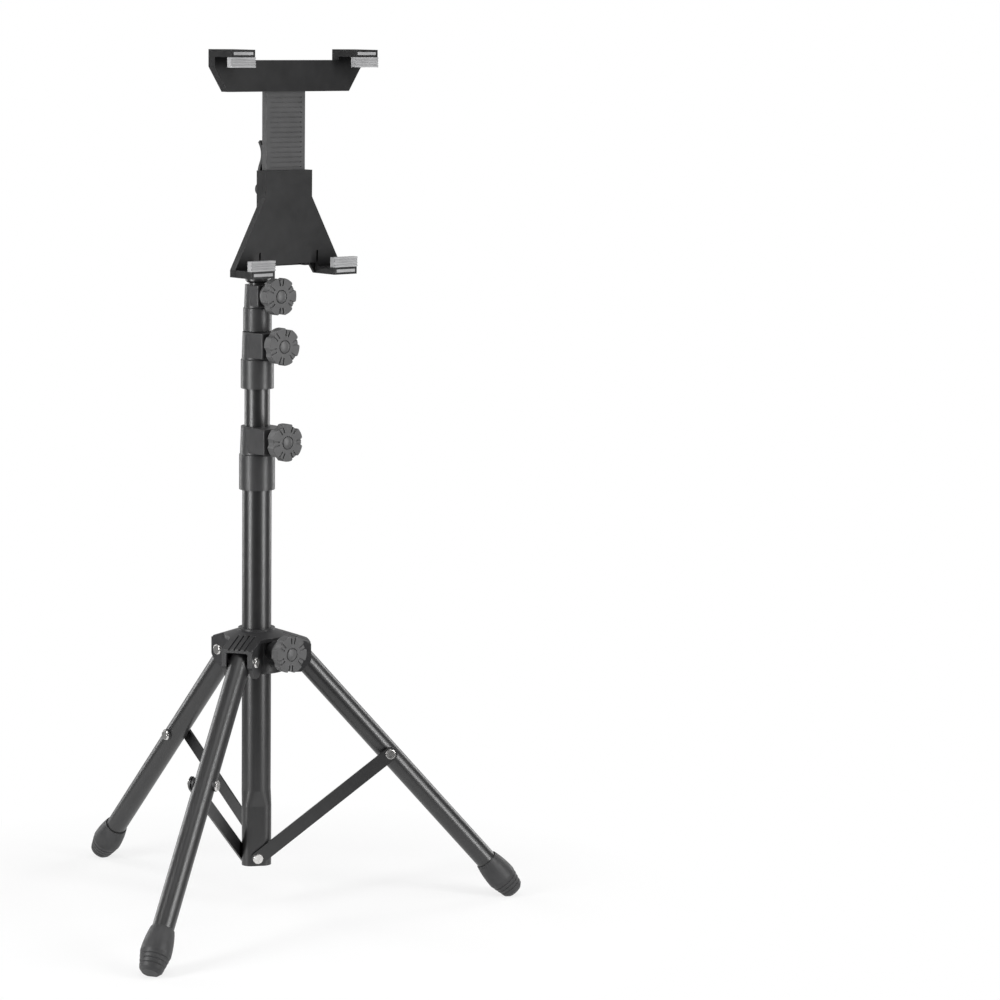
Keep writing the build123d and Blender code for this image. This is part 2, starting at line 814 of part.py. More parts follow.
for leg_name, leg_angle in leg_angles.items():
    with BuildPart() as leg_tube:
        with BuildSketch(leg_plane(leg_angle, -leg_end)):
            Circle(leg_radius)
            Circle(leg_radius - leg_wall, mode=Mode.SUBTRACT)
        extrude(amount=leg_end + leg_reach - boot_sole - seat_gap)
        with BuildSketch(section_plane(leg_angle, -leg_radius)):
            with Locations((pivot_reach, pivot_height)):
                Circle(pivot_rivet_radius + running_gap)
            with Locations((joint_reach, joint_height)):
                Circle(rivet_radius + seat_gap)
        extrude(amount=2 * leg_radius, mode=Mode.SUBTRACT)
    save(leg_tube.part, f"{leg_name}_leg")

    boot_plane = leg_plane(leg_angle, leg_reach)
    with BuildPart() as boot:
        with BuildSketch(Plane(boot_plane.origin, sideways(leg_angle), boot_plane.y_dir)):
            with BuildLine():
                Polyline(*boot_profile)
                ThreePointArc(
                    (boot_belly_radius, boot_belly),
                    (boot_shoulder_radius, (boot_belly + boot_length) / 2),
                    (boot_lip_radius, boot_length),
                )
                Polyline((boot_lip_radius, boot_length), (0, boot_length), (0, 0))
            make_face()
        revolve(axis=Axis(boot_plane.origin, boot_plane.z_dir))
        with BuildSketch(leg_plane(leg_angle, leg_reach - boot_sole)):
            Circle(leg_radius + seat_gap)
        extrude(amount=-boot_length, mode=Mode.SUBTRACT)
        split(bisect_by=Plane.XY, keep=Keep.TOP)
    save(boot.part, f"{leg_name}_boot")

    far_seat = spacer_face + seat_gap
    rivet_seat = head_plane(leg_angle, -far_seat, joint_reach, joint_height, -1)
    save(build_rivet(rivet_seat, rivet_radius, far_seat + spacer_face), f"{leg_name}_leg_rivet")

    with BuildPart() as leg_spacers:
        for spacer_start in (spacer_face, -spacer_face):
            inward = -1 if spacer_start > 0 else 1
            with BuildSketch(section_plane(leg_angle, spacer_start)):
                with Locations((joint_reach, joint_height)):
                    Circle(spacer_radius)
                    Circle(rivet_radius + seat_gap, mode=Mode.SUBTRACT)
            extrude(amount=inward * (spacer_face - leg_radius / 2))
        with BuildSketch(leg_plane(leg_angle, 0)):
            Circle(leg_radius + seat_gap)
        extrude(amount=leg_reach, mode=Mode.SUBTRACT)
    save(leg_spacers.part, f"{leg_name}_leg_spacers")

    # Brace from the column's foot to the leg, flat against the leg's spacer
    brace_rise = joint_height - brace_rivet_height
    brace_length = sqrt(joint_reach**2 + brace_rise**2)
    brace_tilt = degrees(atan2(brace_rise, joint_reach))
    with BuildPart() as brace:
        with BuildSketch(section_plane(leg_angle, brace_inner_face)):
            with Locations((joint_reach / 2, (joint_height + brace_rivet_height) / 2)):
                SlotCenterToCenter(brace_length, brace_width, rotation=brace_tilt)
            with Locations((0, brace_rivet_height)):
                Circle(rivet_radius + running_gap, mode=Mode.SUBTRACT)
            with Locations((joint_reach, joint_height)):
                Circle(rivet_radius + seat_gap, mode=Mode.SUBTRACT)
        extrude(amount=brace_thickness)
    save(brace.part, f"{leg_name}_brace")

    near_seat = brace_inner_face + brace_thickness + seat_gap
    rivet_seat = head_plane(leg_angle, near_seat, joint_reach, joint_height, 1)
    save(
        build_rivet(rivet_seat, rivet_radius, brace_thickness + seat_gap),
        f"{leg_name}_brace_rivet",
    )

# Adapter sleeve on the top rod
with BuildPart() as rod_adapter:
    with BuildSketch(Plane.XY.offset(adapter_bottom)):
        Circle(adapter_radius)
    extrude(amount=adapter_top - adapter_bottom)
    chamfer(rod_adapter.edges().group_by(Axis.Z)[0], length=adapter_edge)
    with BuildSketch(Plane.XY.offset(adapter_bottom)):
        Circle(top_rod_radius + seat_gap)
    extrude(amount=adapter_shoulder - adapter_bottom, mode=Mode.SUBTRACT)
    with BuildSketch(Plane.XY.offset(adapter_shoulder)):
        Circle(stud_radius + seat_gap)
    extrude(amount=adapter_top - adapter_shoulder, mode=Mode.SUBTRACT)
    set_screw_plane = Plane(origin=(0, 0, set_screw_height), x_dir=(1, 0, 0), z_dir=(0, 1, 0))
    with BuildSketch(set_screw_plane):
        Circle(set_screw_radius + seat_gap)
    extrude(amount=adapter_radius + overrun, mode=Mode.SUBTRACT)
    with BuildSketch(set_screw_plane.offset(adapter_radius - set_screw_sink)):
        Circle(set_screw_radius + set_screw_rim)
    extrude(amount=set_screw_sink + overrun, mode=Mode.SUBTRACT)
save(rod_adapter.part, "rod_adapter")

# Socket-headed set screw in the adapter
with BuildPart() as adapter_screw:
    with BuildSketch(set_screw_plane.offset(top_rod_radius + seat_gap)):
        Circle(set_screw_radius)
    extrude(amount=adapter_radius - set_screw_sink - top_rod_radius - seat_gap)
    with BuildSketch(set_screw_plane.offset(adapter_radius - set_screw_sink)):
        RegularPolygon(set_screw_socket, 6, major_radius=False)
    extrude(amount=-set_screw_socket_depth, mode=Mode.SUBTRACT)
save(adapter_screw.part, "adapter_screw")

# Ball stud: an upright shank with a ball on a short neck towards the front
with BuildPart() as ball_stud:
    with BuildSketch(Plane.XY.offset(adapter_shoulder + seat_gap)):
        Circle(stud_radius)
    extrude(amount=stud_top - adapter_shoulder - seat_gap)
    chamfer(ball_stud.edges().group_by(Axis.Z)[-1], length=stud_bevel)
    with BuildSketch(front_plane(0, ball_height)):
        Circle(ball_neck_radius)
    extrude(amount=ball_reach)
    with Locations((0, -ball_reach, ball_height)):
        Sphere(ball_radius)
save(ball_stud.part, "ball_stud")

# Ball nut that grips the ball against the socket
nut_front = housing_back - socket_plate_thickness + socket_plate_sink - moving_gap
nut_rear = ball_reach - ball_nut_rear
with BuildPart() as ball_nut:
    with BuildSketch(front_plane(nut_rear, ball_height)):
        Circle(ball_nut_radius)
        with PolarLocations(ball_nut_radius + ball_nut_flute_radius / 2, ball_nut_flutes):
            Circle(ball_nut_flute_radius, mode=Mode.SUBTRACT)
    extrude(amount=nut_front - nut_rear)
    with BuildSketch(front_plane(nut_rear + ball_nut_lip, ball_height)):
        Circle(socket_boss_radius + running_gap)
    extrude(amount=nut_front, mode=Mode.SUBTRACT)
    with Locations((0, -ball_reach, ball_height)):
        Sphere(ball_seat_radius, mode=Mode.SUBTRACT)
    with BuildSketch(front_plane(0, ball_height)):
        Circle(ball_nut_aperture)
    extrude(amount=ball_reach, mode=Mode.SUBTRACT)
save(ball_nut.part, "ball_nut")

# Socket plate: a slotted plate in the housing's back, with the cup for the ball
with BuildPart() as socket_plate:
    plate_front = housing_back + socket_plate_sink
    plate_rear = plate_front - socket_plate_thickness
    plate_middle_height = (socket_plate_bottom + socket_plate_top) / 2
    with BuildSketch(front_plane(plate_rear, plate_middle_height)):
        RectangleRounded(
            socket_plate_width, socket_plate_top - socket_plate_bottom, socket_plate_corner
        )
        slot_centre = (socket_plate_top - socket_plate_bottom) / 2 - socket_slot_height
        with Locations((-socket_slot_spacing / 2, slot_centre), (socket_slot_spacing / 2, slot_centre)):
            Rectangle(socket_slot_width, socket_slot_height, mode=Mode.SUBTRACT)
    extrude(amount=socket_plate_thickness - seat_gap)
    with BuildSketch(front_plane(ball_reach + socket_boss_end, ball_height)):
        Circle(socket_boss_radius)
    extrude(amount=plate_front - seat_gap - ball_reach - socket_boss_end)
    with Locations((0, -ball_reach, ball_height)):
        Sphere(ball_seat_radius, mode=Mode.SUBTRACT)
save(socket_plate.part, "socket_plate")


def build_hook(inner, side, low, bottom_up):
    """A hook that reaches forward from a jaw, with a window in its end and a tongue for the pad."""
    middle = side * (inner + hook_width / 2)
    with BuildPart() as hook:
        with BuildSketch(Plane.XY.offset(low)) as hook_plan:
            with Locations((middle, -(holder_front + hook_reach / 2))):
                Rectangle(hook_width, hook_reach)
            fillet(hook_plan.vertices().group_by(Axis.Y)[0], radius=hook_edge)
        extrude(amount=hook_thickness)
        window_height = low + hook_thickness / 2
        with BuildSketch(front_plane(holder_front + hook_reach, window_height)):
            with Locations((middle, 0)):
                Rectangle(hook_width - 2 * hook_window_margin, hook_window_height)
        extrude(amount=-hook_window_depth, mode=Mode.SUBTRACT)
        tongue_y = -(holder_front + hook_reach - pad_depth / 2)
        tongue_base = low + hook_thickness if bottom_up else low
        with BuildSketch(Plane.XY.offset(tongue_base)):
            with Locations((middle, tongue_y)):
                Rectangle(hook_width - 2 * tongue_margin, tongue_depth)
        extrude(amount=tongue_height if bottom_up else -tongue_height)
    return hook.part


def build_pads(inner, base, bottom_up):
    """The two ribbed rubber pads on the hooks' tongues, and the strips in the hooks' windows."""
    grow = 1 if bottom_up else -1
    pad_y = -(holder_front + hook_reach - pad_depth / 2)
    with BuildPart() as pads:
        for side in (-1, 1):
            middle = side * (inner + hook_width / 2)
            with BuildSketch(Plane.XY.offset(base + grow * seat_gap)):
                with Locations((middle, pad_y)):
                    Rectangle(hook_width, pad_depth)
            extrude(amount=grow * pad_height)
            for rib in range(pad_rib_count):
                rib_height = base + grow * (rib + 1) * pad_height / (pad_rib_count + 1)
                with BuildSketch(front_plane(holder_front + hook_reach, rib_height)):
                    with Locations((middle, 0)):
                        Rectangle(hook_width + overrun, pad_rib_width)
                extrude(amount=-pad_rib_depth, mode=Mode.SUBTRACT)
            with BuildSketch(Plane.XY.offset(base)):
                with Locations((middle, pad_y)):
                    Rectangle(
                        hook_width - 2 * tongue_margin + 2 * seat_gap,
                        tongue_depth + 2 * seat_gap,
                    )
            extrude(amount=grow * (tongue_height + seat_gap), mode=Mode.SUBTRACT)
            window_front = holder_front + hook_reach - hook_window_depth + seat_gap
            with BuildSketch(front_plane(window_front, base - grow * hook_thickness / 2)):
                with Locations((middle, 0)):
                    Rectangle(
                        hook_width - 2 * (hook_window_margin + seat_gap),
                        hook_window_height - 2 * seat_gap,
                    )
            extrude(amount=hook_window_depth * hook_strip_share)
    return pads.part


# Lower jaw: the front plate that flares into a skirt, with two hooks
with BuildPart() as lower_jaw:
    housing_half_width = housing_width / 2
    jaw_back = holder_front - jaw_plate_thickness
    skirt_outline = [
        (housing_half_width, housing_top),
        (housing_half_width, skirt_top),
        (skirt_half_width, lower_hook_bottom + hook_thickness),
        (skirt_half_width, lower_hook_bottom),
        (lower_hook_inner, lower_hook_bottom),
        (lower_hook_inner, skirt_bottom_edge),
    ]
    mirrored_outline = [(-across, height) for across, height in reversed(skirt_outline)]
    with BuildSketch(front_plane(holder_front, 0)):
        with BuildLine():
            Polyline(*skirt_outline, *mirrored_outline, close=True)
        make_face()
    extrude(amount=-jaw_plate_thickness)
    wing_root = housing_half_width + moving_gap
    wing_foot = lower_hook_bottom
    flare_slope = (skirt_half_width - housing_half_width) / (skirt_top - wing_foot - hook_thickness)
    for side in (-1, 1):
        wing_top = skirt_top - moving_gap / flare_slope
        with BuildSketch(front_plane(jaw_back, 0)):
            with BuildLine():
                Polyline(
                    (side * wing_root, wing_top),
                    (side * skirt_half_width, wing_foot + hook_thickness),
                    (side * skirt_half_width, wing_foot),
                    (side * lower_hook_inner, wing_foot),
                    (side * wing_root, skirt_bottom_edge),
                    close=True,
                )
            make_face()
        extrude(amount=-(skirt_depth - jaw_plate_thickness))
        # Slots in the back of the wing, inside its rim
        with BuildSketch(front_plane(holder_front - skirt_depth, 0)):
            for slot in range(skirt_slot_count):
                slot_middle = wing_root + skirt_rim + skirt_slot_width / 2 + slot * skirt_slot_pitch
                slot_edge = slot_middle + skirt_slot_width / 2
                slot_top = skirt_top - (slot_edge - housing_half_width) / flare_slope - 2 * skirt_rim
                slot_foot = skirt_bottom_edge + skirt_rim
                if slot_top > slot_foot + skirt_slot_width:
                    with Locations((side * slot_middle, (slot_top + slot_foot) / 2)):
                        Rectangle(skirt_slot_width, slot_top - slot_foot)
        extrude(amount=skirt_slot_depth, mode=Mode.SUBTRACT)
        with BuildSketch(front_plane(holder_front, 0)):
            with Locations((side * (lower_hook_inner - notch_width / 2), skirt_bottom_edge)):
                Rectangle(notch_width, 2 * notch_height)
        extrude(amount=-jaw_plate_thickness, mode=Mode.SUBTRACT)
        add(build_hook(lower_hook_inner, side, lower_hook_bottom, True))
save(lower_jaw.part, "lower_jaw")
save(build_pads(lower_hook_inner, lower_hook_bottom + hook_thickness, True), "lower_pads")

# Housing behind the lower jaw: a channel for the arm, lugs for the lever and a seat for the plate
with BuildPart() as jaw_housing:
    channel_half_width = housing_half_width - housing_side_wall
    housing_middle = (housing_top + housing_bottom) / 2
    with BuildSketch(front_plane(jaw_back - seat_gap, housing_middle)):
        Rectangle(housing_width, housing_height)
    extrude(amount=-(housing_depth - seat_gap))
    rear_edges = jaw_housing.faces().sort_by(Axis.Y)[-1].edges().filter_by(Axis.Z)
    fillet(rear_edges, radius=housing_edge)
    with BuildSketch(front_plane(jaw_back, housing_middle)):
        Rectangle(2 * channel_half_width, housing_height)
    extrude(amount=-(housing_depth - housing_back_wall), mode=Mode.SUBTRACT)
    with BuildSketch(front_plane(housing_back, lever_pin_height)):
        window_height = 2 * (lever_nose_offset + lever_nose_radius + moving_gap)
        Rectangle(lever_width + 2 * moving_gap, window_height)
    extrude(amount=housing_back_wall, mode=Mode.SUBTRACT)
    with BuildSketch(front_plane(housing_back, plate_middle_height)):
        RectangleRounded(
            socket_plate_width + 2 * seat_gap,
            socket_plate_top - socket_plate_bottom + 2 * seat_gap,
            socket_plate_corner,
        )
    extrude(amount=socket_plate_sink, mode=Mode.SUBTRACT)
    with BuildSketch(front_plane(housing_back, socket_plate_top + latch_hole_height)):
        with Locations((-socket_slot_spacing / 2, 0), (socket_slot_spacing / 2, 0)):
            Rectangle(latch_hole_width, latch_hole_height)
    extrude(amount=housing_back_wall, mode=Mode.SUBTRACT)
    lug_start = lever_width / 2 + moving_gap
    for side in (-1, 1):
        lug_plane = Plane(origin=(side * lug_start, 0, 0), x_dir=(0, 1, 0), z_dir=(1, 0, 0))
        with BuildSketch(lug_plane):
            with Locations((-lever_pin_reach, lever_pin_height)):
                Circle(lug_radius)
            with Locations((-(lever_pin_reach + housing_back) / 2, lever_pin_height)):
                Rectangle(housing_back - lever_pin_reach, 2 * lug_radius)
        extrude(amount=side * lug_thickness)
        with BuildSketch(lug_plane):
            with Locations((-lever_pin_reach, lever_pin_height)):
                Circle(lever_pin_radius + seat_gap)
        extrude(amount=side * lug_thickness, mode=Mode.SUBTRACT)
save(jaw_housing.part, "jaw_housing")

# Upper jaw: the ribbed arm, the slotted bar and its two hooks, moulded in one
with BuildPart() as upper_jaw:
    bar_outline = [
        (bar_foot_half_width, bar_bottom),
        (bar_half_width, bar_top - bar_side_height),
        (bar_half_width, tab_top),
        (upper_hook_inner, tab_top),
        (upper_hook_inner, bar_top),
    ]
    mirrored_bar = [(-across, height) for across, height in reversed(bar_outline)]
    with BuildSketch(front_plane(holder_front, 0)):
        with BuildLine():
            Polyline(*bar_outline, *mirrored_bar, close=True)
        make_face()
    extrude(amount=-bar_depth)
    bar_back = holder_front - bar_depth
    with BuildSketch(front_plane(bar_back, 0)):
        with GridLocations(bar_slot_pitch, 0, bar_slot_count, 1):
            with Locations((0, (bar_bottom + tab_top) / 2)):
                Rectangle(bar_slot_width, tab_top - bar_bottom)
        rim_slope = (bar_half_width - bar_foot_half_width) / (bar_top - bar_side_height - bar_bottom)
        inner_foot = bar_foot_half_width - bar_rim * (1 + rim_slope) / 2
        with BuildLine():
            inner_side = bar_half_width - bar_rim
            Polyline(
                (inner_foot, bar_bottom + bar_rim),
                (inner_side, bar_top - bar_side_height),
                (inner_side, tab_top - bar_rim),
                (upper_hook_inner + bar_rim, tab_top - bar_rim),
                (upper_hook_inner + bar_rim, bar_top - bar_rim),
                (-upper_hook_inner - bar_rim, bar_top - bar_rim),
                (-upper_hook_inner - bar_rim, tab_top - bar_rim),
                (-inner_side, tab_top - bar_rim),
                (-inner_side, bar_top - bar_side_height),
                (-inner_foot, bar_bottom + bar_rim),
                close=True,
            )
        make_face(mode=Mode.INTERSECT)
    extrude(amount=bar_slot_depth, mode=Mode.SUBTRACT)
    for side in (-1, 1):
        add(build_hook(upper_hook_inner, side, tab_top - hook_thickness, False))
    arm_depth = arm_front - arm_back
    arm_middle = (bar_bottom + arm_bottom) / 2
    with BuildSketch(front_plane(arm_front, arm_middle)):
        Rectangle(2 * arm_half_width, arm_length)
    extrude(amount=-arm_depth)
    with BuildSketch(front_plane(arm_back, arm_middle)):
        Rectangle(2 * (arm_half_width - arm_rail_width), arm_length)
    extrude(amount=arm_depth - arm_web, mode=Mode.SUBTRACT)
    rib_count = int(arm_length / arm_rib_pitch) - 1
    with BuildSketch(front_plane(arm_front, arm_middle)):
        with GridLocations(0, arm_rib_pitch, 1, rib_count):
            Rectangle(2 * (arm_half_width - arm_rib_margin), arm_rib_width)
    extrude(amount=-arm_rib_depth, mode=Mode.SUBTRACT)
    with BuildSketch(front_plane(arm_front - arm_web, bar_bottom - arm_hole_drop)):
        Circle(arm_hole_radius)
    extrude(amount=arm_web / 2, mode=Mode.SUBTRACT)
save(upper_jaw.part, "upper_jaw")
save(build_pads(upper_hook_inner, tab_top - hook_thickness, False), "upper_pads")

# Cam lever: an S-curved thumb plate on a hub whose nose presses the arm
with BuildPart() as cam_lever:
    lever_plane = Plane(origin=(-lever_width / 2, 0, 0), x_dir=(0, 1, 0), z_dir=(1, 0, 0))
    with BuildSketch(lever_plane):
        with BuildLine():
            lever_root = lever_hub_radius - lever_thickness / 2 - lever_pin_reach
            lower_arc = ThreePointArc(
                (lever_root, lever_pin_height),
                (lever_root + lever_bulge, lever_pin_height + lever_waist / 2),
                (lever_root - lever_sway, lever_pin_height + lever_waist),
            )
            TangentArc(
                lower_arc @ 1,
                (lever_root + lever_lip, lever_pin_height + lever_length),
                tangent=lower_arc % 1,
            )
        trace(line_width=lever_thickness)
        with Locations((-lever_pin_reach, lever_pin_height)):
            Circle(lever_hub_radius)
        with Locations((-lever_pin_reach - lever_nose_offset / 2, lever_pin_height)):
            Rectangle(lever_nose_offset, 2 * lever_nose_radius)
        with Locations((-lever_pin_reach - lever_nose_offset, lever_pin_height)):
            Circle(lever_nose_radius)
    extrude(amount=lever_width)
    with BuildSketch(Plane(origin=(-lever_tail_width / 2, 0, 0), x_dir=(0, 1, 0), z_dir=(1, 0, 0))):
        with Locations((-lever_pin_reach, lever_pin_height - lever_tail_length / 2)):
            Rectangle(lever_tail_thickness, lever_tail_length)
    extrude(amount=lever_tail_width)
    with BuildSketch(lever_plane):
        with Locations((-lever_pin_reach, lever_pin_height)):
            Circle(lever_pin_radius + running_gap)
    extrude(amount=lever_width, mode=Mode.SUBTRACT)
save(cam_lever.part, "cam_lever")

# Pin that the lever turns on
pin_half_length = lever_width / 2 + moving_gap + lug_thickness
with BuildPart() as lever_pin:
    with BuildSketch(Plane(origin=(-pin_half_length, 0, 0), x_dir=(0, 1, 0), z_dir=(1, 0, 0))):
        with Locations((-lever_pin_reach, lever_pin_height)):
            Circle(lever_pin_radius)
    extrude(amount=2 * pin_half_length)
save(lever_pin.part, "lever_pin")
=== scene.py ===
import json
import math

import bpy
from mathutils import Matrix, Vector

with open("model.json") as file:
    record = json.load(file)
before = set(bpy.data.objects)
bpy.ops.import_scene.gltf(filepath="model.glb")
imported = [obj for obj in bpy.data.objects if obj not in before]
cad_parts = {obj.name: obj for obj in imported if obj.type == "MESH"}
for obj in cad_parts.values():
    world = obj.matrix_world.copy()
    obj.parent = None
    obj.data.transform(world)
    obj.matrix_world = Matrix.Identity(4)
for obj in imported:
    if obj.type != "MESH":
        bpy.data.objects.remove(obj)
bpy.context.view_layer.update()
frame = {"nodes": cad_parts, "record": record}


# Materials: each is built from noise in object space, in metres

smear_share = 0.45  # size of the roughness patches, as a share of the colour patches
cloud_seed, smear_seed, peel_seed = 1.7, 4.1, 2.3  # offsets that keep the noises apart
bevel_samples = 8


def link(tree, source, target):
    tree.links.new(source, target)


def noise(tree, size, detail=3.0, seed=0.0):
    """A noise texture whose features are about size metres wide."""
    vector = tree.nodes.new("ShaderNodeTexCoord").outputs["Object"]
    if seed:
        mapping = tree.nodes.new("ShaderNodeMapping")
        mapping.inputs["Location"].default_value = (seed, seed, seed)
        link(tree, vector, mapping.inputs["Vector"])
        vector = mapping.outputs["Vector"]
    texture = tree.nodes.new("ShaderNodeTexNoise")
    texture.inputs["Scale"].default_value = 1.0 / size
    texture.inputs["Detail"].default_value = detail
    link(tree, vector, texture.inputs["Vector"])
    return texture.outputs["Fac"]


def spread(tree, value, low, high, start=0.3, end=0.7):
    """Maps a value that runs from start to end, which is where noise lies, to low and high."""
    node = tree.nodes.new("ShaderNodeMapRange")
    node.inputs["From Min"].default_value = start
    node.inputs["From Max"].default_value = end
    node.inputs["To Min"].default_value = low
    node.inputs["To Max"].default_value = high
    link(tree, value, node.inputs["Value"])
    return node.outputs["Result"]


def blend(tree, factor, first, second):
    """Mixes two colours by a factor; first and second are sockets."""
    node = tree.nodes.new("ShaderNodeMix")
    node.data_type = "RGBA"
    link(tree, factor, node.inputs["Factor"])
    link(tree, first, node.inputs["A"])
    link(tree, second, node.inputs["B"])
    return node.outputs["Result"]


def clouds(tree, size, first, second, detail=3.0, seed=0.0):
    """Cloudy patches of two colours, each a (red, green, blue)."""
    node = tree.nodes.new("ShaderNodeMix")
    node.data_type = "RGBA"
    link(tree, spread(tree, noise(tree, size, detail, seed), 0, 1), node.inputs["Factor"])
    node.inputs["A"].default_value = (*first, 1)
    node.inputs["B"].default_value = (*second, 1)
    return node.outputs["Result"]


def bump(tree, height, distance, under=None):
    node = tree.nodes.new("ShaderNodeBump")
    node.inputs["Distance"].default_value = distance
    link(tree, height, node.inputs["Height"])
    if under:
        link(tree, under, node.inputs["Normal"])
    return node.outputs["Normal"]


def surface(name, colors, roughness, grain, cloud=0.012, metallic=0.0, level=0.5, peel=None,
            edge=0.0004):
    """colors and roughness are (low, high) pairs. grain and peel are the (size, depth) of the
    fine and the coarse relief, cloud is the size of the colour patches, and edge is the radius
    that softens the edges."""
    material = bpy.data.materials.new(name)
    material.use_nodes = True
    tree = material.node_tree
    shader = tree.nodes["Principled BSDF"]
    shader.inputs["Metallic"].default_value = metallic
    shader.inputs["Specular IOR Level"].default_value = level
    patches = clouds(tree, cloud, *colors, detail=4.0, seed=cloud_seed)
    link(tree, patches, shader.inputs["Base Color"])
    smears = noise(tree, cloud * smear_share, detail=5.0, seed=smear_seed)
    link(tree, spread(tree, smears, *roughness), shader.inputs["Roughness"])
    rounded = None
    if edge:
        rounding = tree.nodes.new("ShaderNodeBevel")
        rounding.samples = bevel_samples
        rounding.inputs["Radius"].default_value = edge
        rounded = rounding.outputs["Normal"]
    size, depth = grain
    normal = bump(tree, noise(tree, size, detail=2.0), depth, under=rounded)
    if peel:
        size, depth = peel
        normal = bump(tree, noise(tree, size, detail=1.0, seed=peel_seed), depth, under=normal)
    link(tree, normal, shader.inputs["Normal"])
    return material


materials = {
    "tube_black": surface(
        "powder_coat", ((0.006, 0.006, 0.0065), (0.009, 0.009, 0.0095)), (0.34, 0.38),
        (0.0009, 0.0000002), peel=(0.005, 0.0000005), level=0.8, edge=0,
    ),
    "plastic_black": surface(
        "moulded_plastic", ((0.026, 0.026, 0.027), (0.036, 0.036, 0.037)), (0.38, 0.46),
        (0.0005, 0.000002), level=0.4, edge=0.0005,
    ),
    "glide_plastic": surface(
        "glide_plastic", ((0.03, 0.03, 0.03), (0.045, 0.045, 0.045)), (0.38, 0.5),
        (0.0008, 0.000002),
    ),
    "insert_brass": surface(
        "turned_brass", ((0.62, 0.45, 0.2), (0.78, 0.6, 0.3)), (0.22, 0.34), (0.0004, 0.000002),
        metallic=1.0,
    ),
    "bright_steel": surface(
        "bright_nickel", ((0.62, 0.61, 0.6), (0.8, 0.79, 0.77)), (0.16, 0.26),
        (0.0006, 0.000003), metallic=1.0, cloud=0.004, edge=0.0005,
    ),
    "socket_metal": surface(
        "cast_metal", ((0.5, 0.5, 0.51), (0.64, 0.64, 0.65)), (0.3, 0.4), (0.0007, 0.000004),
        metallic=1.0, cloud=0.006,
    ),
    "boot_rubber": surface(
        "boot_rubber", ((0.028, 0.028, 0.029), (0.042, 0.042, 0.043)), (0.46, 0.58),
        (0.0006, 0.000008), level=0.4, edge=0.0005,
    ),
    "pad_rubber": surface(
        "pad_rubber", ((0.3, 0.3, 0.305), (0.4, 0.4, 0.405)), (0.48, 0.6), (0.0005, 0.000008),
        edge=0.0005,
    ),
}

# The black mouldings differ in shade and gloss in the photograph
knob_plastic = surface(
    "knob_plastic", ((0.075, 0.075, 0.076), (0.092, 0.092, 0.093)), (0.42, 0.5),
    (0.0006, 0.000003), edge=0.0003,
)
collar_plastic = surface(
    "collar_plastic", ((0.03, 0.03, 0.031), (0.04, 0.04, 0.041)), (0.36, 0.43),
    (0.0006, 0.000002),
)
crown_plastic = surface(
    "crown_plastic", ((0.02, 0.02, 0.021), (0.028, 0.028, 0.029)), (0.36, 0.43),
    (0.0006, 0.000002), level=0.45,
)
jaw_black = ((0.012, 0.012, 0.0125), (0.018, 0.018, 0.0185))
holder_plastic = surface(
    "holder_plastic", jaw_black, (0.36, 0.44), (0.0006, 0.000003), level=0.28, edge=0,
)
arm_plastic = surface(
    "arm_plastic", jaw_black, (0.36, 0.44), (0.0006, 0.000003), level=0.18, edge=0,
)

# Painted sheen: the ribbed arm below the top bar is painted a lighter grey than the bar, standing
# in for the light its ribs catch
arm_painted_sheen_grey = ((0.075, 0.075, 0.076), (0.09, 0.09, 0.091))
bar_foot, bar_foot_blur = 0.616, 0.0005
arm_nodes = arm_plastic.node_tree
place = arm_nodes.nodes.new("ShaderNodeSeparateXYZ")
link(arm_nodes, arm_nodes.nodes.new("ShaderNodeTexCoord").outputs["Object"], place.inputs["Vector"])
painted_sheen_below_bar = spread(
    arm_nodes, place.outputs["Z"], 1, 0, start=bar_foot - bar_foot_blur, end=bar_foot + bar_foot_blur
)
base = arm_nodes.nodes["Principled BSDF"].inputs["Base Color"]
# Mixes the painted sheen grey into the arm's colour below the bar
link(arm_nodes, blend(arm_nodes, painted_sheen_below_bar, base.links[0].from_socket, clouds(arm_nodes, 0.01, *arm_painted_sheen_grey)), base)

own_finish = {
    "lower_jaw": holder_plastic,
    "jaw_housing": holder_plastic,
    "upper_jaw": arm_plastic,
    "crown": crown_plastic,
    "crown_sleeve": crown_plastic,
}
for clamp in ("lower", "middle", "upper"):
    own_finish[f"{clamp}_collar"] = collar_plastic
for clamp in ("lower", "middle", "upper", "crown"):
    own_finish[f"{clamp}_knob"] = knob_plastic
    own_finish[f"{clamp}_knob_cap"] = knob_plastic
slot_of = {entry["node"]: entry["material_slot"] for entry in frame["record"]["subparts"]}
for node, obj in frame["nodes"].items():
    if not obj.material_slots:
        obj.data.materials.append(None)
    for used in obj.material_slots:
        used.material = own_finish.get(node, materials[slot_of[node]])


# Camera at the photograph's viewpoint

view_angle = 38.4  # degrees that the viewer stands off the row's front
turn = math.radians(view_angle)
yaw, pitch, roll = 0.0732, 0.1468, 0.0135
camera_distance, camera_height = 2.4794, 0.6804
focal_pixels, image_pixels, sensor_mm = 3350.5, 1000, 36


def to_row(vector):
    """From the viewer's level frame, whose y goes into the picture, to the row frame."""
    return Matrix.Rotation(-turn, 3, "Z") @ Vector(vector)


level_reach = math.cos(pitch)
forward = to_row((math.sin(yaw) * level_reach, math.cos(yaw) * level_reach, -math.sin(pitch)))
level_right = to_row((math.cos(yaw), -math.sin(yaw), 0))
level_up = level_right.cross(forward)
right = level_right * math.cos(roll) + level_up * math.sin(roll)
above = level_up * math.cos(roll) - level_right * math.sin(roll)
camera_data = bpy.data.cameras.new("camera")
camera_data.sensor_width = sensor_mm
camera_data.lens = focal_pixels / image_pixels * sensor_mm
camera = bpy.data.objects.new("camera", camera_data)
bpy.context.scene.collection.objects.link(camera)
turned = Matrix((right, above, -forward)).transposed().to_4x4()
camera.matrix_world = Matrix.Translation(to_row((0, -camera_distance, camera_height))) @ turned
bpy.context.scene.camera = camera


# Floor: a pale card that takes the shadow and turns into the white backdrop towards its rim

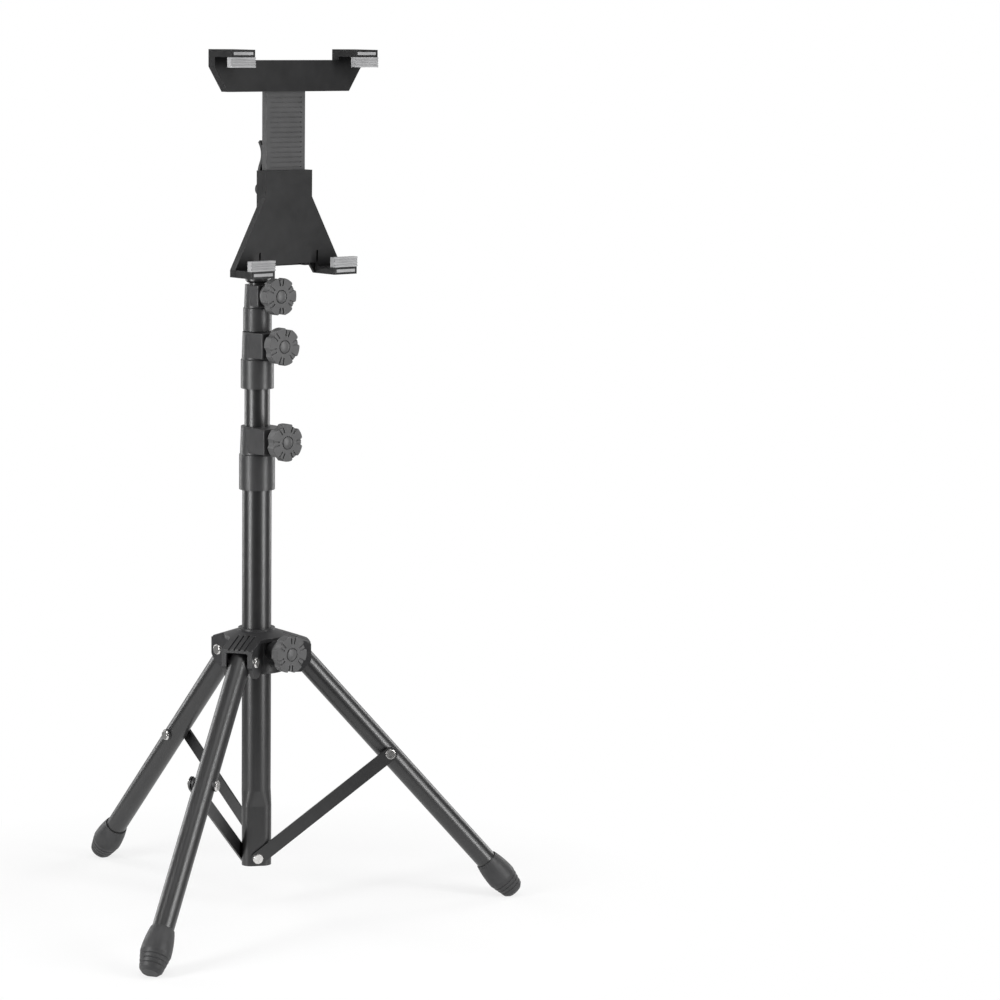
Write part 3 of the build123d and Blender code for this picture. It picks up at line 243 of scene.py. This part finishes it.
floor_half = 0.36
fade_start, fade_end = 0.2, 0.34  # distances from the column
backdrop_share = 0.75  # of the floor's look near the column
card_grey = ((0.93, 0.93, 0.93), (0.95, 0.95, 0.95))
card_patch = 0.6


def combine(tree, operation, *sources):
    """A math node with its sources linked in order."""
    node = tree.nodes.new("ShaderNodeMath")
    node.operation = operation
    for socket, source in zip(node.inputs, sources):
        link(tree, source, socket)
    return node.outputs["Value"]


def mix_shaders(tree, factor, first, second):
    node = tree.nodes.new("ShaderNodeMixShader")
    link(tree, factor, node.inputs["Fac"])
    link(tree, first, node.inputs[1])
    link(tree, second, node.inputs[2])
    return node.outputs["Shader"]


floor_mesh = bpy.data.meshes.new("studio_floor")
floor_mesh.from_pydata(
    [
        (-floor_half, -floor_half, 0),
        (floor_half, -floor_half, 0),
        (floor_half, floor_half, 0),
        (-floor_half, floor_half, 0),
    ],
    [],
    [(0, 1, 2, 3)],
)
floor = bpy.data.objects.new("studio_floor", floor_mesh)
bpy.context.scene.collection.objects.link(floor)
floor_paint = bpy.data.materials.new("floor_paint")
floor_paint.use_nodes = True
paper = floor_paint.node_tree
card = paper.nodes["Principled BSDF"]
card.inputs["Roughness"].default_value = 0.9
card.inputs["Specular IOR Level"].default_value = 0.1
link(paper, clouds(paper, card_patch, *card_grey, detail=2.0), card.inputs["Base Color"])
glow = paper.nodes.new("ShaderNodeEmission")
glow.inputs["Strength"].default_value = 1.0
reach = paper.nodes.new("ShaderNodeVectorMath")
reach.operation = "LENGTH"
link(paper, paper.nodes.new("ShaderNodeTexCoord").outputs["Object"], reach.inputs[0])
fade = spread(
    paper, reach.outputs["Value"], backdrop_share, 1.0, start=fade_start, end=fade_end
)
# Only rays from the camera, off gloss or through glass see the white
path = paper.nodes.new("ShaderNodeLightPath")
seen = combine(
    paper, "MAXIMUM", path.outputs["Is Camera Ray"], path.outputs["Is Glossy Ray"]
)
seen = combine(paper, "MAXIMUM", seen, path.outputs["Is Transmission Ray"])
floor_look = mix_shaders(
    paper, combine(paper, "MULTIPLY", seen, fade), card.outputs["BSDF"], glow.outputs["Emission"]
)
link(paper, floor_look, paper.nodes["Material Output"].inputs["Surface"])
floor.data.materials.append(floor_paint)


# World: soft light all round, and a white backdrop that only the camera and the gloss see

soft_strength = 0.12
backdrop_gloss, backdrop_rise = 0.5, 0.9  # its strength in gloss, and where that is reached

world = bpy.data.worlds.new("studio")
bpy.context.scene.world = world
world.use_nodes = True
sky = world.node_tree
sky.nodes.clear()


def background(strength):
    node = sky.nodes.new("ShaderNodeBackground")
    node.inputs["Color"].default_value = (1, 1, 1, 1)
    node.inputs["Strength"].default_value = strength
    return node.outputs["Background"]


# Gloss shows the white backdrop behind the stand and the dim studio in front of it
facing = sky.nodes.new("ShaderNodeVectorMath")
facing.operation = "DOT_PRODUCT"
link(sky, sky.nodes.new("ShaderNodeTexCoord").outputs["Generated"], facing.inputs[0])
facing.inputs[1].default_value = (math.sin(turn), math.cos(turn), 0)
backdrop = spread(
    sky, facing.outputs["Value"], 0.0, backdrop_gloss, start=0.0, end=backdrop_rise
)
rays = sky.nodes.new("ShaderNodeLightPath").outputs
straight = combine(sky, "MAXIMUM", rays["Is Camera Ray"], rays["Is Transmission Ray"])
shown = combine(sky, "MULTIPLY_ADD", rays["Is Glossy Ray"], backdrop, straight)
studio = mix_shaders(sky, shown, background(soft_strength), background(1.0))
link(sky, studio, sky.nodes.new("ShaderNodeOutputWorld").inputs["Surface"])


# Softboxes round the stand

def add_light(name, azimuth, away, up, width, tall, power, aim):
    """A softbox that faces the column at height aim; azimuth 0 stands at -Y and 90 at +X."""
    data = bpy.data.lights.new(name, "AREA")
    data.shape = "RECTANGLE"
    data.size = width
    data.size_y = tall
    data.energy = power
    obj = bpy.data.objects.new(name, data)
    bpy.context.scene.collection.objects.link(obj)
    obj.visible_camera = False
    angle = math.radians(azimuth)
    spot = Vector((math.sin(angle) * away, -math.cos(angle) * away, up))
    aimed = (Vector((0, 0, aim)) - spot).to_track_quat("-Z", "Y")
    obj.matrix_world = Matrix.Translation(spot) @ aimed.to_matrix().to_4x4()


# Each has its angle from the viewer, distance, height, width, length, power and aim
for name, angle, *box in (
    ("left_box", -55, 0.95, 0.55, 0.2, 1.1, 10.5, 0.55),
    ("right_box", 55, 0.95, 0.55, 0.2, 1.1, 9.0, 0.55),
    ("top_box", 20, 0.5, 2.0, 1.2, 1.2, 9, 0.3),
    ("rear_left_box", -130, 1.2, 0.6, 0.3, 1.1, 5, 0.6),
    ("rear_right_box", 130, 1.2, 0.6, 0.3, 1.1, 5, 0.6),
):
    add_light(name, angle - view_angle, *box)

bpy.context.scene.view_settings.view_transform = "Standard"
